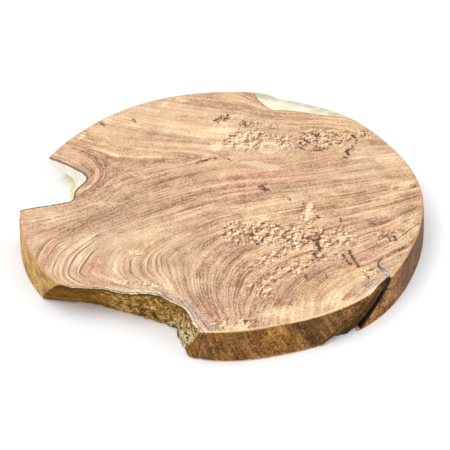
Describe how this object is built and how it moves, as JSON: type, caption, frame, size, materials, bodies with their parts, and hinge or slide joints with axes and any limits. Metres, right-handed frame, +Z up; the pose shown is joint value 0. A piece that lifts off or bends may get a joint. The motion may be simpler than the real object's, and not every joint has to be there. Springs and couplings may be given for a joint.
{
  "type": "round chopping block",
  "caption": "Round chopping block sawn from a slab of root wood, with natural notches in its rim and a flat face to cut on.",
  "frame": {"origin": "centre of the sawn circle, on the flat underside", "axes": "+Z up through the slab, +X towards the right of the picture, +Y away from the viewer"},
  "size_m": [0.3038, 0.3032, 0.0285],
  "materials": {
    "heartwood": "satin",
    "back_sapwood": "satin",
    "notch_sapwood": "matte",
    "scallop_sapwood": "matte",
    "bark": "matte",
    "filler": "matte"
  },
  "bodies": {
    "root": {"heartwood_slab": "heartwood", "sapwood_back": "back_sapwood", "sapwood_notch": "notch_sapwood", "sapwood_scallop": "scallop_sapwood", "cleft_bark": "bark", "crack_filler": "filler"}
  },
  "joints": []
}
